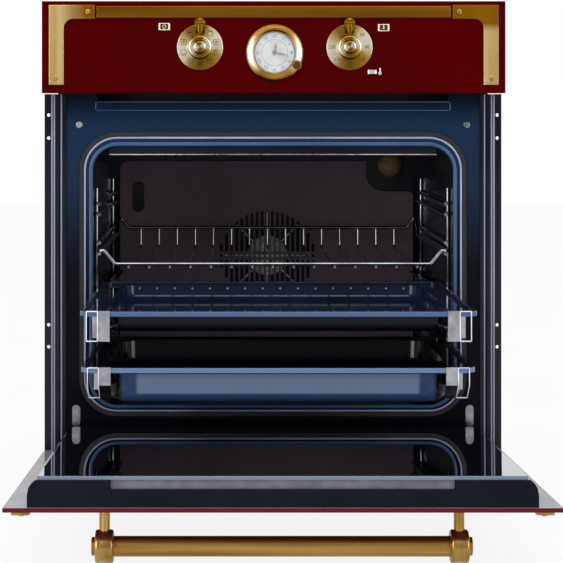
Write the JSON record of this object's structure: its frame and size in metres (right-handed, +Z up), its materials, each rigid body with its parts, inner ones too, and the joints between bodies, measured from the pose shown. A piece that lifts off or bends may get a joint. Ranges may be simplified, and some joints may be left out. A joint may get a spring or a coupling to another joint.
{
  "type": "built-in oven",
  "caption": "Built-in oven with a drop-down door standing open, two trays on telescopic rails, a wire shelf, a control panel with lever knobs and a dial clock.",
  "frame": {"origin": "middle of the underside of the cabinet, which rests on the shelf of the kitchen housing", "axes": "+X to the right as seen from the front, +Y into the housing, +Z up"},
  "size_m": [0.595, 1.0277, 0.6304],
  "materials": {
    "maroon_enamel": "gloss",
    "navy_enamel": "gloss",
    "cavity_enamel": "gloss",
    "back_enamel": "satin",
    "galvanised_steel": "matt",
    "steel": "satin",
    "chrome": "polished",
    "brass": "brushed, lacquered",
    "dark_brass": "brushed, lacquered",
    "pale_brass": "satin",
    "copper": "satin",
    "silver_face": "matt",
    "black_plastic": "matt",
    "grey_plastic": "matt",
    "red_lens": "gloss",
    "gasket_rubber": "matt",
    "clear_glass": "clear",
    "door_glass": "gloss, dark"
  },
  "bodies": {
    "cabinet": {"air_outlet": "black_plastic", "back_liner": "back_enamel", "cabinet_shell": "galvanised_steel", "cavity_liner": "cavity_enamel", "clock_bezel": "brass", "clock_case": "black_plastic", "clock_face": "silver_face", "clock_glass": "clear_glass", "control_panel": "maroon_enamel", "corner_bracket_left": "brass", "corner_bracket_right": "brass", "door_gasket": "gasket_rubber", "fan_motor": "steel", "frame_screws": "steel", "front_frame": "navy_enamel", "function_dial": "pale_brass", "function_switch": "grey_plastic", "grill_element": "steel", "grill_shield": "cavity_enamel", "hinge_brackets": "steel", "indicator_lens": "red_lens", "lamp_glass": "clear_glass", "lamp_holder": "grey_plastic", "lower_rails_fixed": "steel", "panel_screws": "brass", "rear_cover": "galvanised_steel", "ring_element": "steel", "side_rack_left": "chrome", "side_rack_right": "chrome", "side_trim_left": "navy_enamel", "side_trim_right": "navy_enamel", "temperature_dial": "pale_brass", "terminal_cover": "black_plastic", "thermostat": "grey_plastic", "trim_bar": "dark_brass", "upper_rails_fixed": "steel"},
    "door": {"door_bottom_profile": "navy_enamel", "door_hinge_arms": "steel", "door_inner_glass": "door_glass", "door_outer_panel": "maroon_enamel", "door_side_profile_left": "navy_enamel", "door_side_profile_right": "navy_enamel", "door_straps": "brass", "door_top_profile": "navy_enamel", "handle_bar": "brass", "handle_mount_left": "brass", "handle_mount_right": "brass"},
    "upper_tray": {"upper_tray": "navy_enamel", "upper_rails_inner": "steel"},
    "upper_middle_rails": {"upper_rails_middle": "steel"},
    "lower_tray": {"lower_tray": "navy_enamel", "lower_rails_inner": "steel"},
    "lower_middle_rails": {"lower_rails_middle": "steel"},
    "wire_shelf": {"wire_shelf": "chrome"},
    "function_knob": {"function_knob": "brass"},
    "temperature_knob": {"temperature_knob": "brass"},
    "clock_setter": {"clock_setter": "copper"},
    "minute_hand": {"minute_hand": "copper"},
    "hour_hand": {"hour_hand": "copper"},
    "convection_fan": {"convection_fan": "steel"}
  },
  "joints": [
    {"name": "door_hinge", "type": "hinge", "parent": "cabinet", "child": "door", "pos_m": [0, -0.29, 0.025], "axis": [-1, 0, 0], "range_deg": [0, 87.5]},
    {"name": "upper_tray_slide", "type": "slide", "parent": "cabinet", "child": "upper_tray", "axis": [0, 1, 0], "range_m": [0, 0.3202]},
    {"name": "upper_middle_slide", "type": "slide", "parent": "cabinet", "child": "upper_middle_rails", "axis": [0, 1, 0], "range_m": [0, 0.1602]},
    {"name": "lower_tray_slide", "type": "slide", "parent": "cabinet", "child": "lower_tray", "axis": [0, 1, 0], "range_m": [0, 0.3822]},
    {"name": "lower_middle_slide", "type": "slide", "parent": "cabinet", "child": "lower_middle_rails", "axis": [0, 1, 0], "range_m": [0, 0.1912]},
    {"name": "shelf_slide", "type": "slide", "parent": "cabinet", "child": "wire_shelf", "axis": [0, 1, 0], "range_m": [0, 0.065]},
    {"name": "function_turn", "type": "hinge", "parent": "cabinet", "child": "function_knob", "pos_m": [-0.0944, -0.315, 0.5358], "axis": [0, 1, 0], "continuous": true},
    {"name": "temperature_turn", "type": "hinge", "parent": "cabinet", "child": "temperature_knob", "pos_m": [0.0972, -0.315, 0.5358], "axis": [0, 1, 0], "range_deg": [0, 270]},
    {"name": "setter_turn", "type": "hinge", "parent": "cabinet", "child": "clock_setter", "pos_m": [0.0294, -0.315, 0.5132], "axis": [0, 1, 0], "continuous": true},
    {"name": "minute_turn", "type": "hinge", "parent": "cabinet", "child": "minute_hand", "pos_m": [0.0012, -0.31, 0.5287], "axis": [0, 1, 0], "continuous": true},
    {"name": "hour_turn", "type": "hinge", "parent": "cabinet", "child": "hour_hand", "pos_m": [0.0012, -0.309, 0.5287], "axis": [0, 1, 0], "continuous": true},
    {"name": "fan_spin", "type": "hinge", "parent": "cabinet", "child": "convection_fan", "pos_m": [0.001, 0.168, 0.2338], "axis": [0, 1, 0], "continuous": true}
  ],
  "couplings": [
    {"joint": "upper_tray_slide", "follows": "door_hinge", "m_per_rad": 0.20954},
    {"joint": "upper_middle_slide", "follows": "door_hinge", "m_per_rad": 0.10477},
    {"joint": "lower_tray_slide", "follows": "door_hinge", "m_per_rad": 0.25014},
    {"joint": "lower_middle_slide", "follows": "door_hinge", "m_per_rad": 0.12507},
    {"joint": "minute_turn", "follows": "setter_turn", "ratio": -0.5},
    {"joint": "hour_turn", "follows": "setter_turn", "ratio": -0.041667}
  ]
}
